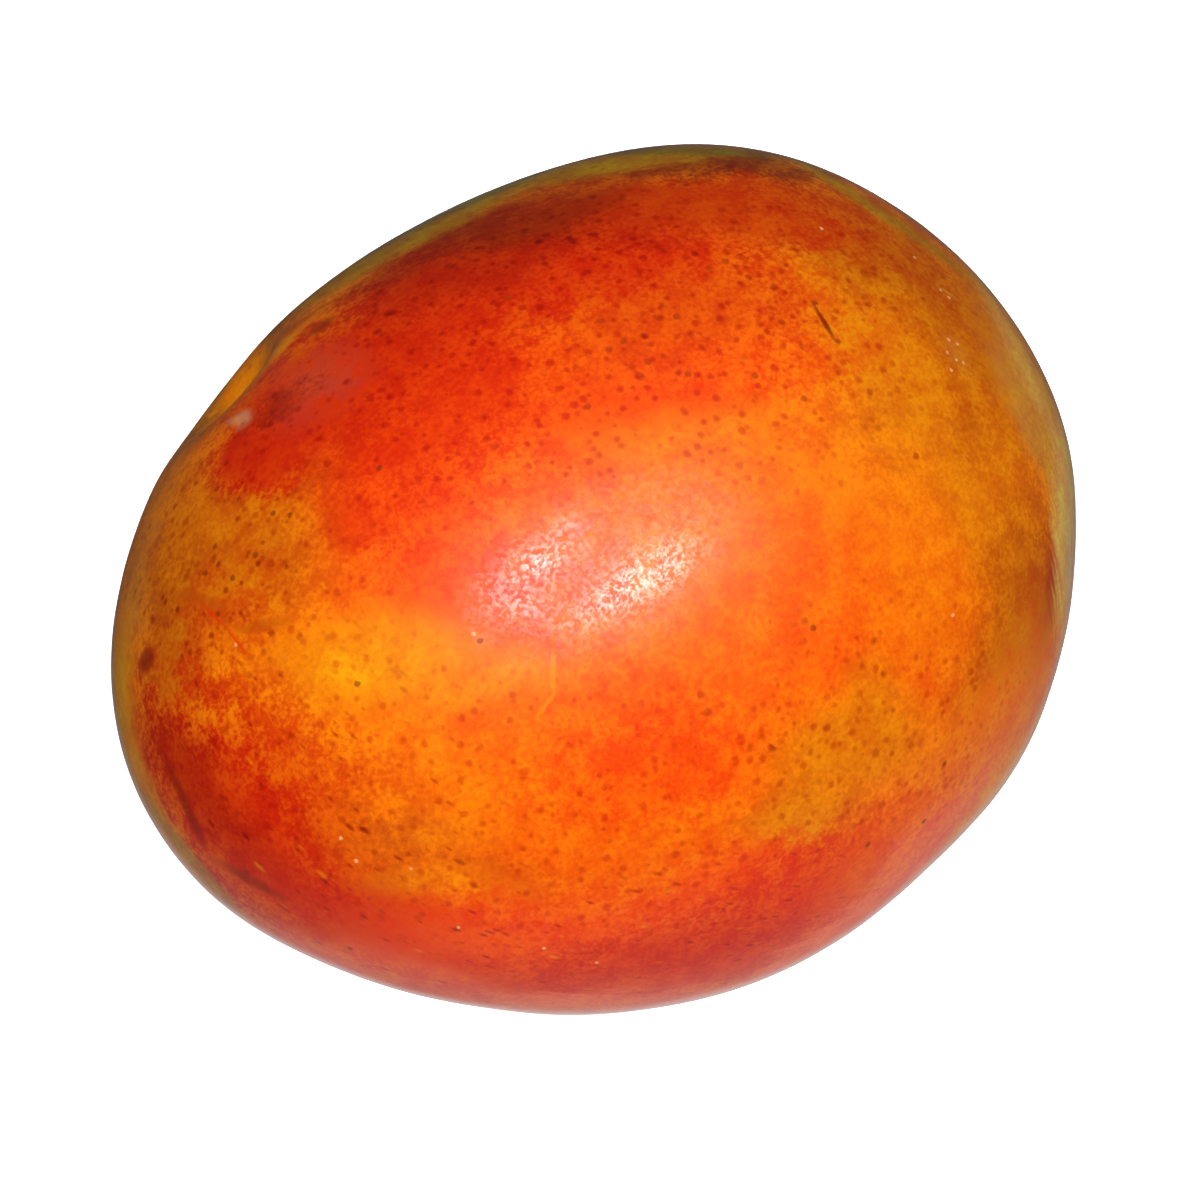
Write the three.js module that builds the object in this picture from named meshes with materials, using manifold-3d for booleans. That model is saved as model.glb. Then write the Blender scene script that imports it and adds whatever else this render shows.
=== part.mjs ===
// A whole ripe mango, as picked, lying on its flatter cheek. Millimetres, +Z up.
// +X runs along the fruit's longest way across, towards the blossom end, and the origin is at the middle
// of its box, on the surface that it lies on.
//
// The skin is one closed surface. Each point lies in some direction from the fruit's centre, and its
// distance is that of a smooth ovoid, swollen or hollowed where the real fruit departs from one: the broad
// shoulder beside the stem, the back, the belly, the beak and its sinus, and the basin that the stem grew from.

import * as THREE from "three";
import { mergeVertices } from "three/addons/utils/BufferGeometryUtils.js";
import Module from "manifold-3d";

// Driving sizes of the ovoid, before its swells, in millimetres.
const LENGTH = 119;
const BREADTH = 98;
const THICKNESS = 86;

// The flatter cheek is not quite level: the fruit is rolled about X, towards -Y, in degrees.
const CHEEK_ROLL = 14;

// Soft flesh settles a little where it bears: how far the resting spot is pressed in.
const REST_DEPTH = 0.8;

// A place on the skin is a direction from the centre: degrees round from +X towards +Y, and degrees above
// the horizontal. A swell stands out by its height, or dips if that is negative, and fades over its spread.
const SWELLS = {
  shoulder: { round: 159, above: -7, height: 3.4, spread: 42 },
  underShoulder: { round: 140, above: 2, height: -1, spread: 8.5 },
  back: { round: 30, above: 41, height: 2.7, spread: 24 },
  belly: { round: -95, above: -28, height: 1.2, spread: 25 },
  flankHollow: { round: -163, above: -32, height: -3, spread: 21 },
  beak: { round: -54, above: -22, height: 1.3, spread: 14 },
  sinus: { round: -34, above: 3, height: -0.6, spread: 8 },
};

// Where the stem broke off: a round basin with a small corky scar standing at the bottom of it.
const STEM = { round: 126.5, above: 24.5 };
const BASIN_DEPTH = 4.6;
const BASIN_SPREAD = 7;
const SCAR_RADIUS = 2.7;
const SCAR_HEIGHT = 0.8;

// Rings run round the stem and lie closer together near it, where the form is finer.
const SEGMENTS = 72;
const RINGS = 48;
const RING_CROWDING = 1.5;

const { degToRad, radToDeg, smoothstep } = THREE.MathUtils;

function directionOf({ round, above }) {
  const level = Math.cos(degToRad(above));
  return new THREE.Vector3(
    level * Math.cos(degToRad(round)),
    level * Math.sin(degToRad(round)),
    Math.sin(degToRad(above)),
  );
}

const STEM_DIRECTION = directionOf(STEM);
const SWELL_DIRECTIONS = Object.values(SWELLS).map((swell) => ({
  ...swell,
  direction: directionOf(swell),
}));

function bell(angle, spread) {
  return Math.exp(-((angle / spread) ** 2));
}

function ovoidRadius(direction) {
  const rolled = direction
    .clone()
    .applyAxisAngle(new THREE.Vector3(1, 0, 0), degToRad(-CHEEK_ROLL));
  const scaled = new THREE.Vector3(
    rolled.x / (LENGTH / 2),
    rolled.y / (BREADTH / 2),
    rolled.z / (THICKNESS / 2),
  );
  return 1 / scaled.length();
}

// The corky scar: level on top, falling away over the outer third of its radius.
function scarHeight(distanceFromStem) {
  return SCAR_HEIGHT * (1 - smoothstep(distanceFromStem, SCAR_RADIUS * (2 / 3), SCAR_RADIUS));
}

function skinRadius(direction) {
  let radius = ovoidRadius(direction);
  for (const swell of SWELL_DIRECTIONS) {
    const angle = radToDeg(direction.angleTo(swell.direction));
    radius += swell.height * bell(angle, swell.spread);
  }
  const fromStem = direction.angleTo(STEM_DIRECTION);
  radius -= BASIN_DEPTH * bell(radToDeg(fromStem), BASIN_SPREAD);
  return radius + scarHeight(fromStem * radius);
}

// A ball of rings whose pole is the stem, each of its vertices then moved out to the skin.
function skinGeometry() {
  const profile = [];
  for (let ring = 0; ring <= RINGS; ring += 1) {
    const fromStem = Math.PI * (ring / RINGS) ** RING_CROWDING;
    profile.push(new THREE.Vector2(Math.sin(fromStem), Math.cos(fromStem)));
  }
  profile[0].x = 0;
  profile[RINGS].x = 0;
  const ball = new THREE.LatheGeometry(profile.reverse(), SEGMENTS);
  const up = new THREE.Vector3(0, 1, 0);
  ball.applyQuaternion(new THREE.Quaternion().setFromUnitVectors(up, STEM_DIRECTION));
  ball.deleteAttribute("normal");
  ball.deleteAttribute("uv");
  const skin = mergeVertices(ball);
  const positions = skin.getAttribute("position");
  const point = new THREE.Vector3();
  for (let i = 0; i < positions.count; i += 1) {
    point.fromBufferAttribute(positions, i).normalize();
    point.setLength(skinRadius(point));
    positions.setXYZ(i, point.x, point.y, point.z);
  }
  return skin;
}

function solidFrom(wasm, geometry) {
  const bare = geometry.clone();
  bare.deleteAttribute("normal");
  bare.deleteAttribute("uv");
  const merged = mergeVertices(bare);
  return new wasm.Manifold(
    new wasm.Mesh({
      numProp: 3,
      vertProperties: merged.getAttribute("position").array,
      triVerts: new Uint32Array(merged.index.array),
    }),
  );
}

function geometryFrom(solid) {
  const mesh = solid.getMesh();
  const geometry = new THREE.BufferGeometry();
  geometry.setAttribute("position", new THREE.BufferAttribute(mesh.vertProperties, 3));
  geometry.setIndex(new THREE.BufferAttribute(mesh.triVerts, 1));
  return geometry;
}

// Takes the resting spot off the underside, and sets the fruit down on it, centred on its own box.
function restedGeometry(wasm, skin) {
  skin.computeBoundingBox();
  const floor = skin.boundingBox.min.z + REST_DEPTH;
  const below = new THREE.BoxGeometry(LENGTH, LENGTH, LENGTH);
  below.translate(0, 0, floor - LENGTH / 2);
  const rested = geometryFrom(solidFrom(wasm, skin).subtract(solidFrom(wasm, below)));
  rested.computeBoundingBox();
  const middle = rested.boundingBox.getCenter(new THREE.Vector3());
  rested.translate(-middle.x, -middle.y, -rested.boundingBox.min.z);
  rested.computeVertexNormals();
  return rested;
}

// Waxy skin, flushed red over orange.
function skinMaterial() {
  return new THREE.MeshStandardMaterial({ color: 0xe4581a, roughness: 0.42, metalness: 0 });
}

const wasm = await Module();
wasm.setup();

const mango = new THREE.Mesh(restedGeometry(wasm, skinGeometry()), skinMaterial());
mango.name = "mango_fruit";

const group = new THREE.Group();
group.add(mango);

export default group;
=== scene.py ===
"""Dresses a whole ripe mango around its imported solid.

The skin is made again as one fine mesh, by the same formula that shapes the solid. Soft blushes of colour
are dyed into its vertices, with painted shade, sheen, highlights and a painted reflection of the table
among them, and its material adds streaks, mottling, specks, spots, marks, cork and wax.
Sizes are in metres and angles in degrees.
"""

from __future__ import annotations

import logging
import math
from collections.abc import Iterator, Mapping, Sequence
from dataclasses import dataclass, field
from enum import Enum
from typing import Any, Union

import bmesh
import bpy
from mathutils import Matrix, Vector, noise
from mathutils.kdtree import KDTree

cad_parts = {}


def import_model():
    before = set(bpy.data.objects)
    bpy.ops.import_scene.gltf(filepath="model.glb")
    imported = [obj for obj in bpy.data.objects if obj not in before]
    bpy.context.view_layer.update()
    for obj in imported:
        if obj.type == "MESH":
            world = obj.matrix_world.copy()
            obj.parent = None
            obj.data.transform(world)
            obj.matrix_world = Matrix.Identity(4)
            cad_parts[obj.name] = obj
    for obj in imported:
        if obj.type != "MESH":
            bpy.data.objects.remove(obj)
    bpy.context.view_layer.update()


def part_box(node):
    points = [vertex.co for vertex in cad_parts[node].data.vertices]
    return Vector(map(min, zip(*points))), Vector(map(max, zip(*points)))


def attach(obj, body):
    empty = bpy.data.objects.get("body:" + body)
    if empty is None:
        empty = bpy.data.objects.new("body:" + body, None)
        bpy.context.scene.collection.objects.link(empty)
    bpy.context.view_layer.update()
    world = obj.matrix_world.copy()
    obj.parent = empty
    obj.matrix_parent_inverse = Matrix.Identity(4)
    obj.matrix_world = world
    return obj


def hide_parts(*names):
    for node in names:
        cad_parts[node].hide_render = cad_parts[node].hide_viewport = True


LOG = logging.getLogger("mango")

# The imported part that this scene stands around.
FRUIT_NODE = "mango_fruit"
FRUIT_BODY = "root"

# Driving sizes of the ovoid, before its swells.
LENGTH = 0.119
BREADTH = 0.098
THICKNESS = 0.086
CHEEK_ROLL = 14
REST_DEPTH = 0.0008

# The distance from the fruit's middle to its skin, where one round figure will do.
GIRTH_RADIUS = 0.05

# The fine mesh starts as a coarse ball of segments round the stem and rings from it. Then each of its edges
# is cut, and the rings crowd towards the stem.
BALL_SEGMENTS = 80
BALL_RINGS = 54
BALL_CUTS = 3
RING_CROWDING = 1.25

# The photograph's width and height, in pixels.
PICTURE_SIZE = 1200

# How deep a patch of colour may reach through the fruit, so that it doesn't show on the other side.
SHALLOWEST_PATCH = 0.012
DEEPEST_PATCH = 0.04

# The edges of the dye wander by noise of two grains, and those of marks by a finer one.
WANDER = 0.002
WANDER_GRAIN = 0.012
FRAY = 0.0008
FRAY_GRAIN = 0.0028
MARK_DRIFT = 0.0002
MARK_GRAIN = 0.0008

# The smallest speck of a kind, and how much bigger the biggest is, as shares of the kind's radius.
SPECK_LEAST = 0.5
SPECK_SPREAD = 0.9

# How often a line of sight is halved to find the skin, and how far apart the skin's slope is measured.
SIGHT_HALVINGS = 24
SLOPE_STEP = 0.0005

# Fixes the noise that the dye's edges wander by, so that it is the same each run.
DYE_SEED = 5

# The skin's two colour layers, which hold its own colours and the painted light among the patches, by how
# the patches grow on them, and how far their strengths differ.
DYE_AND_LIGHT_LAYERS = {"tight_dye_and_light": -1, "loose_dye_and_light": 1}
DYE_CONTRAST = 0.08

Value = Union["Signal", float]
Pair = tuple[float, float]
Triple = tuple[float, float, float]


def direction_of(around: float, above: float) -> Vector:
    """Gives the unit vector at those degrees round from +X towards +Y and above the horizontal."""
    turn = math.radians(around)
    rise = math.radians(above)
    return Vector((math.cos(rise) * math.cos(turn), math.cos(rise) * math.sin(turn), math.sin(rise)))


def bell(angle: float, spread: float) -> float:
    """Gives the height of a round swell, 1 at its middle, at that angle from it."""
    return math.exp(-((angle / spread) ** 2))


def ease(value: float, start: float, stop: float) -> float:
    """Gives a smooth step from 0 at the start to 1 at the stop."""
    share = min(max((value - start) / (stop - start), 0.0), 1.0)
    return share * share * (3 - 2 * share)


@dataclass(frozen=True)
class Swell:
    """A place where the fruit stands out from its ovoid, or dips if the height is negative."""

    around: float
    above: float
    height: float
    spread: float


@dataclass(frozen=True)
class StemBasin:
    """The round basin that the stem grew from, and the corky scar at the bottom of it."""

    around: float = 126.5
    above: float = 24.5
    depth: float = 0.0046
    spread: float = 7.0
    scar_radius: float = 0.0027
    scar_height: float = 0.0008
    pit_radius: float = 0.0009
    pit_depth: float = 0.0005

    def axis(self) -> Vector:
        """Gives the direction from the fruit's centre to the stem."""
        return direction_of(self.around, self.above)

    def scar(self, from_stem: float) -> float:
        """Gives the scar's height at that distance from the stem's axis: a disc with a pit in it."""
        disc = self.scar_height * (1 - ease(from_stem, self.scar_radius * 2 / 3, self.scar_radius))
        pit = self.pit_depth * (1 - ease(from_stem, self.pit_radius / 2, self.pit_radius * 3 / 2))
        return disc - pit


@dataclass
class FruitForm:
    """The whole form of the fruit, as a distance from its centre in each direction."""

    swells: tuple[Swell, ...] = (
        Swell(159, -7, 0.0034, 42),
        Swell(140, 2, -0.001, 8.5),
        Swell(30, 41, 0.0027, 24),
        Swell(-95, -28, 0.0012, 25),
        Swell(-163, -32, -0.003, 21),
        Swell(-54, -22, 0.0013, 14),
        Swell(-34, 3, -0.0006, 8),
    )
    basin: StemBasin = field(default_factory=StemBasin)
    dent_grain: float = 0.016
    dent_height: float = 0.00018
    ripple_grain: float = 0.0045
    ripple_height: float = 0.00002

    def __post_init__(self) -> None:
        """Works out once which way each swell and the roll point."""
        self.aimed = [(direction_of(swell.around, swell.above), swell) for swell in self.swells]
        self.roll = Matrix.Rotation(math.radians(-CHEEK_ROLL), 3, "X")
        self.stem_axis = self.basin.axis()

    def ovoid_radius(self, direction: Vector) -> float:
        """Gives the plain ovoid's radius, rolled on its cheek, in that direction."""
        rolled = self.roll @ direction
        scaled = Vector((rolled.x / (LENGTH / 2), rolled.y / (BREADTH / 2), rolled.z / (THICKNESS / 2)))
        return 1 / scaled.length

    def radius(self, direction: Vector) -> float:
        """Gives the distance from the centre to the skin.

        Args:
            direction: A unit vector from the fruit's centre.

        Returns:
            The radius there, with every swell, the stem basin and its scar.
        """
        radius = self.ovoid_radius(direction)
        for middle, swell in self.aimed:
            away = math.degrees(direction.angle(middle, 0.0))
            radius += swell.height * bell(away, swell.spread)
        from_stem = direction.angle(self.stem_axis, 0.0)
        radius -= self.basin.depth * bell(math.degrees(from_stem), self.basin.spread)
        return radius + self.basin.scar(from_stem * radius)

    def meet(self, eye: Vector, line: Vector) -> Vector:
        """Finds where a line of sight meets the near side of the skin.

        Args:
            eye: Where the line starts, from the fruit's centre.
            line: Its direction, of length 1.

        Returns:
            The point on the skin, or the nearest one at the outline if the line passes by.
        """
        inside = -eye.dot(line)
        outside = inside - LENGTH
        for _ in range(SIGHT_HALVINGS):
            middle = (inside + outside) / 2
            point = eye + line * middle
            if point.length < self.radius(point.normalized()):
                inside = middle
            else:
                outside = middle
        direction = (eye + line * inside).normalized()
        return direction * self.radius(direction)

    def normal(self, point: Vector) -> Vector:
        """Gives the direction that the skin faces.

        Args:
            point: A point on the skin, from the fruit's centre.

        Returns:
            The outward normal, of length 1.
        """
        slopes = []
        for axis in Matrix.Identity(3):
            ahead = point + axis * SLOPE_STEP
            behind = point - axis * SLOPE_STEP
            rise = ahead.length - self.radius(ahead.normalized())
            fall = behind.length - self.radius(behind.normalized())
            slopes.append(rise - fall)
        return Vector(slopes).normalized()

    def unevenness(self, point: Vector) -> float:
        """Gives the small dents and ripples that a grown skin has at a point on it."""
        dents = self.dent_height * noise.noise(point / self.dent_grain)
        return dents + self.ripple_height * noise.noise(point / self.ripple_grain)


@dataclass(frozen=True)
class Sight:
    """How the photograph was taken: where the camera stands, which way it looks and how closely."""

    target: Vector
    around: float = -128
    above: float = 52
    distance: float = 0.7
    aim_right: float = -0.00065
    aim_up: float = -0.0015
    sensor: float = 36
    lens: float = 177.6

    def back(self) -> Vector:
        """Gives the direction from the fruit to the camera."""
        return direction_of(self.around, self.above)

    def turn(self) -> Matrix:
        """Gives the camera's axes: right, up and back."""
        return self.back().to_track_quat("Z", "Y").to_matrix()

    def eye(self) -> Vector:
        """Gives where the camera stands."""
        aim = self.target + self.turn() @ Vector((self.aim_right, self.aim_up, 0))
        return aim + self.back() * self.distance

    def line(self, across: float, down: float) -> Vector:
        """Gives the direction from the camera through a pixel of the photograph."""
        reach = PICTURE_SIZE * self.lens / self.sensor
        half = PICTURE_SIZE / 2
        return (self.turn() @ Vector((across - half, half - down, -reach))).normalized()


@dataclass(frozen=True)
class Seen:
    """A place on the near side of the skin, by the pixel where the photograph shows it."""

    across: float
    down: float

    def lie(self, form: FruitForm, sight: Sight, centre: Vector) -> tuple[Vector, Matrix]:
        """Finds the place from the fruit's centre, and axes to the picture's right, up and out of it."""
        line = sight.line(self.across, self.down)
        return form.meet(sight.eye() - centre, line), sight.turn()


@dataclass(frozen=True)
class Hidden:
    """A place on the far side of the skin, by its direction from the fruit's centre."""

    around: float
    above: float

    def lie(self, form: FruitForm, _sight: Sight, _centre: Vector) -> tuple[Vector, Matrix]:
        """Finds the place on the skin, and axes to the east, the north and outwards."""
        outward = direction_of(self.around, self.above)
        east = Vector((0, 0, 1)).cross(outward).normalized()
        axes = Matrix((east, outward.cross(east), outward)).transposed()
        return outward * form.radius(outward), axes


class Tone(Enum):
    """The skin's own colours, and the colours of painted light, as linear red, green and blue."""

    YELLOW = (0.94, 0.38, 0.001)
    GOLD = (0.94, 0.27, 0.001)
    AMBER = (0.94, 0.18, 0.001)
    ORANGE = (0.94, 0.115, 0.001)
    VERMILION = (0.94, 0.060, 0.001)
    SCARLET = (0.80, 0.032, 0.001)
    CHERRY = (0.69, 0.022, 0.001)
    CRIMSON = (0.52, 0.017, 0.001)
    RUSSET = (0.58, 0.042, 0.001)
    MAROON = (0.30, 0.020, 0.001)
    WINE = (0.22, 0.008, 0.001)
    HONEY = (0.75, 0.19, 0.001)
    SIENNA = (0.75, 0.065, 0.001)
    OCHRE = (0.60, 0.13, 0.001)
    RUST = (0.54, 0.080, 0.001)
    BRICK = (0.40, 0.035, 0.002)
    # Dark spots, and painted shade along the top outline.
    UMBER = (0.20, 0.030, 0.004)
    # Olive and moss are the far side's green, and also painted shade where they streak the top outline.
    OLIVE = (0.46, 0.21, 0.006)
    MOSS = (0.16, 0.13, 0.015)
    # Tan for small marks, and a painted sheen where it lies along the outlines.
    TAN = (0.68, 0.27, 0.030)
    # A painted sheen, not the skin's colour.
    SAND_SHEEN = (0.85, 0.45, 0.100)
    # A painted reflection of the pale table, not the skin's colour.
    SALMON_REFLECTION = (1.00, 0.14, 0.060)
    # A painted sheen, not the skin's colour.
    ROSE_SHEEN = (0.66, 0.09, 0.040)
    # A painted highlight, not the skin's colour.
    LIP_HIGHLIGHT = (0.75, 0.33, 0.150)
    CORK = (0.22, 0.12, 0.050)
    FLAKE = (0.92, 0.46, 0.180)
    SHADE = (0.74, 0.40, 0.600)
    STAIN = (0.50, 0.22, 0.500)
    PALE = (1.05, 1.32, 1.000)
    DEEP = (0.92, 0.70, 0.900)

    def rgba(self) -> tuple[float, float, float, float]:
        """Gives the colour as the four numbers that a colour socket takes."""
        return (*self.value, 1.0)


@dataclass(frozen=True)
class Patch:
    """A soft oval on the skin.

    Its length and width are as they look along its third axis: for a seen place, as in the picture. The
    long axis is turned anticlockwise from the first one. Softness is how far the edge fades, and speckle is
    how far flecks break it up, both as shares of the half width.
    """

    place: Seen | Hidden
    turn: float
    long: float
    wide: float
    strength: float = 0.8
    softness: float = 0.5
    speckle: float = 0.3

    def deep(self) -> float:
        """Gives how deep the patch reaches through the fruit along its third axis."""
        return min(max(self.wide * 3, SHALLOWEST_PATCH), DEEPEST_PATCH)

    def amount(self, away: float, growth: float = 0.0) -> float:
        """Gives how strongly the patch shows.

        Args:
            away: The distance from its middle, which is 1 at its edge.
            growth: Whether it is grown by its speckle, 1, or shrunk, -1.

        Returns:
            The share of its colour.
        """
        edge = 1 + growth * self.speckle / 2
        strength = min(self.strength * (1 + growth * DYE_CONTRAST), 1.0)
        return strength * ease(away, edge + self.softness, edge - self.softness)


@dataclass(frozen=True)
class Blush:
    """A patch of colour."""

    tone: Tone
    patch: Patch


def dab(tone: Tone, across: float, down: float, *oval: float) -> Blush:
    """Makes a blush at a pixel of the photograph. The oval is the rest of its patch, from the turn on."""
    return Blush(tone, Patch(Seen(across, down), *oval))


# Most of these are the skin's blushes; some are painted shade, sheen, highlight and reflection.
BLUSHES_AND_PAINTED_LIGHT = (
    # The far side: green where the sun didn't reach, red over the shoulder and below.
    Blush(Tone.HONEY, Patch(Hidden(70, 0), 0, 0.120, 0.080, 0.8, 0.6)),
    Blush(Tone.OLIVE, Patch(Hidden(75, -5), 0, 0.096, 0.060, 0.8, 0.6)),
    Blush(Tone.MOSS, Patch(Hidden(85, -10), 10, 0.060, 0.034, 0.4, 0.6)),
    Blush(Tone.OLIVE, Patch(Hidden(76, 22), -8, 0.094, 0.034, 0.85, 0.6, 0.8)),
    Blush(Tone.MOSS, Patch(Hidden(74, 20), -8, 0.074, 0.020, 0.5, 0.6, 1.0)),
    Blush(Tone.SCARLET, Patch(Hidden(150, -40), 0, 0.070, 0.040)),
    Blush(Tone.SIENNA, Patch(Hidden(10, -20), 20, 0.060, 0.030, 0.6)),
    # The orange middle.
    dab(Tone.ORANGE, 700, 600, 0, 0.078, 0.066, 0.75, 0.6),
    dab(Tone.ORANGE, 420, 500, -20, 0.040, 0.020),
    dab(Tone.ORANGE, 360, 560, -20, 0.016, 0.012),
    dab(Tone.ORANGE, 400, 840, -20, 0.040, 0.012),
    dab(Tone.ORANGE, 560, 880, 0, 0.060, 0.016),
    dab(Tone.ORANGE, 530, 735, 0, 0.020, 0.010, 0.5),
    # Amber under the highlight is partly the skin's colour and partly painted highlight.
    dab(Tone.AMBER, 660, 545, 15, 0.018, 0.012, 0.5),
    dab(Tone.AMBER, 425, 795, -20, 0.018, 0.010, 0.7),
    dab(Tone.VERMILION, 478, 592, -18, 0.022, 0.012, 0.85),
    dab(Tone.VERMILION, 585, 565, 0, 0.012, 0.008, 0.6),
    dab(Tone.VERMILION, 665, 768, 5, 0.024, 0.010, 0.7),
    dab(Tone.VERMILION, 640, 705, 0, 0.016, 0.006, 0.5),
    dab(Tone.VERMILION, 820, 660, -10, 0.014, 0.008, 0.4),
    # The amber and honey right.
    dab(Tone.AMBER, 850, 440, -50, 0.030, 0.014, 0.9),
    dab(Tone.AMBER, 930, 530, 85, 0.020, 0.010, 0.9),
    dab(Tone.HONEY, 890, 335, -58, 0.040, 0.022, 0.9, 0.4),
    dab(Tone.OCHRE, 955, 315, -56, 0.038, 0.011, 0.9),
    dab(Tone.OCHRE, 845, 262, -28, 0.016, 0.006),
    dab(Tone.RUST, 840, 222, -30, 0.030, 0.008),
    dab(Tone.HONEY, 985, 490, -85, 0.020, 0.010, 0.7, 0.5, 0.0),
    # A tan strip along the right outline is a painted sheen.
    dab(Tone.TAN, 1040, 410, -70, 0.034, 0.007, 0.9),
    dab(Tone.OCHRE, 1018, 632, 78, 0.032, 0.012, 0.9),
    dab(Tone.RUST, 1045, 600, 80, 0.014, 0.005),
    dab(Tone.BRICK, 1052, 594, 80, 0.008, 0.0025),
    dab(Tone.RUST, 966, 430, -80, 0.009, 0.004, 0.6),
    dab(Tone.AMBER, 972, 772, 55, 0.038, 0.012, 0.9),
    dab(Tone.HONEY, 850, 748, 15, 0.018, 0.010),
    dab(Tone.HONEY, 800, 825, 20, 0.014, 0.008),
    dab(Tone.HONEY, 873, 690, 60, 0.008, 0.006, 0.6),
    # The red cheek above, from the stem to the upper right.
    dab(Tone.VERMILION, 570, 385, 10, 0.056, 0.020, 0.9),
    dab(Tone.VERMILION, 415, 490, -15, 0.020, 0.012, 0.9),
    dab(Tone.VERMILION, 332, 482, -40, 0.012, 0.007, 0.6),
    dab(Tone.SCARLET, 366, 524, -22, 0.0095, 0.0060, 0.85),
    dab(Tone.ORANGE, 560, 375, 15, 0.014, 0.008, 0.4),
    dab(Tone.AMBER, 690, 440, 6, 0.022, 0.007),
    dab(Tone.SCARLET, 415, 395, 25, 0.028, 0.020, 0.95),
    dab(Tone.SIENNA, 675, 290, 5, 0.030, 0.016, 0.9),
    dab(Tone.SCARLET, 520, 305, 20, 0.030, 0.007, 0.4),
    dab(Tone.CHERRY, 410, 320, 32, 0.040, 0.016, 0.95),
    dab(Tone.CHERRY, 298, 420, 30, 0.020, 0.013),
    dab(Tone.CHERRY, 580, 260, 12, 0.042, 0.009, 0.9),
    dab(Tone.CRIMSON, 495, 248, 25, 0.036, 0.008, 0.9),
    dab(Tone.CRIMSON, 640, 210, 8, 0.030, 0.008, 0.9),
    dab(Tone.MAROON, 550, 212, 17, 0.024, 0.005),
    dab(Tone.RUSSET, 745, 212, -6, 0.028, 0.008, 0.9),
    dab(Tone.GOLD, 287, 338, 45, 0.008, 0.0014, 0.9),
    # A dark umber strip along the top outline is painted shade.
    dab(Tone.UMBER, 675, 162, 0, 0.044, 0.0046),
    # The ochre left with its red blotches.
    dab(Tone.OCHRE, 225, 548, 25, 0.025, 0.020, 0.6),
    dab(Tone.RUST, 235, 578, 30, 0.016, 0.010, 0.3),
    dab(Tone.OCHRE, 180, 620, 70, 0.012, 0.010, 0.7, 0.5, 0.8),
    dab(Tone.RUST, 175, 665, 80, 0.010, 0.008, 0.7),
    dab(Tone.SIENNA, 222, 635, 60, 0.012, 0.007, 0.5, 0.5, 1.0),
    # A tan strip along the left outline is a painted sheen.
    dab(Tone.TAN, 130, 596, 80, 0.026, 0.0044, 0.6, 0.6, 1.0),
    dab(Tone.RUST, 156, 565, 78, 0.008, 0.0022, 0.6),
    # The stem basin.
    dab(Tone.CHERRY, 258, 458, 25, 0.0090, 0.0072, 0.95, 0.3),
    dab(Tone.CHERRY, 306, 396, 38, 0.022, 0.010, 0.9),
    dab(Tone.GOLD, 250, 383, 52, 0.0095, 0.0050, 0.95, 0.3),
    # A pale rose patch beside the basin is a painted sheen.
    dab(Tone.ROSE_SHEEN, 312, 382, 25, 0.0080, 0.0054, 0.6, 0.8, 1.0),
    dab(Tone.WINE, 285, 405, 35, 0.0080, 0.0022, 0.55, 0.6, 0.8),
    # A pale streak on the basin's near lip is a painted highlight.
    dab(Tone.LIP_HIGHLIGHT, 238, 426, 8, 0.0034, 0.0014, 0.8, 0.7),
    # The yellow band across the middle left.
    dab(Tone.GOLD, 365, 657, 15, 0.022, 0.009, 0.9),
    dab(Tone.YELLOW, 365, 662, 15, 0.010, 0.004, 0.4),
    dab(Tone.GOLD, 450, 672, -5, 0.022, 0.008, 0.5),
    # The red lower left.
    dab(Tone.SIENNA, 290, 800, -38, 0.032, 0.016, 0.6, 0.5, 0.6),
    dab(Tone.SIENNA, 330, 880, -30, 0.026, 0.016),
    dab(Tone.SIENNA, 275, 745, -30, 0.012, 0.008, 0.6, 0.5, 0.8),
    dab(Tone.CHERRY, 236, 828, -48, 0.040, 0.016, 0.95, 0.5, 0.5),
    dab(Tone.CRIMSON, 192, 772, -58, 0.016, 0.006),
    dab(Tone.CRIMSON, 255, 855, -42, 0.020, 0.005, 0.5),
    dab(Tone.CHERRY, 400, 936, -15, 0.030, 0.011, 0.9),
    dab(Tone.OLIVE, 420, 842, -15, 0.014, 0.006, 0.25, 0.8, 0.8),
    dab(Tone.RUSSET, 525, 886, 0, 0.008, 0.005, 0.4),
    dab(Tone.GOLD, 450, 888, -5, 0.018, 0.004, 0.5),
    dab(Tone.YELLOW, 124, 742, -84, 0.026, 0.0048, 0.9),
    # The red along the bottom.
    dab(Tone.VERMILION, 550, 940, 0, 0.042, 0.010, 0.9),
    dab(Tone.VERMILION, 720, 890, 20, 0.020, 0.008, 0.7),
    dab(Tone.SCARLET, 620, 978, 3, 0.050, 0.008, 0.9),
    dab(Tone.SCARLET, 790, 916, 35, 0.034, 0.011, 0.9),
    dab(Tone.ORANGE, 890, 838, 40, 0.020, 0.006, 0.6),
    dab(Tone.CHERRY, 680, 943, 8, 0.026, 0.006, 0.7),
    # Salmon along the bottom outline is a painted reflection of the pale table.
    dab(Tone.SALMON_REFLECTION, 400, 972, -14, 0.030, 0.004, 0.5),
    dab(Tone.SALMON_REFLECTION, 930, 850, 48, 0.024, 0.006, 0.7),
)

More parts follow.
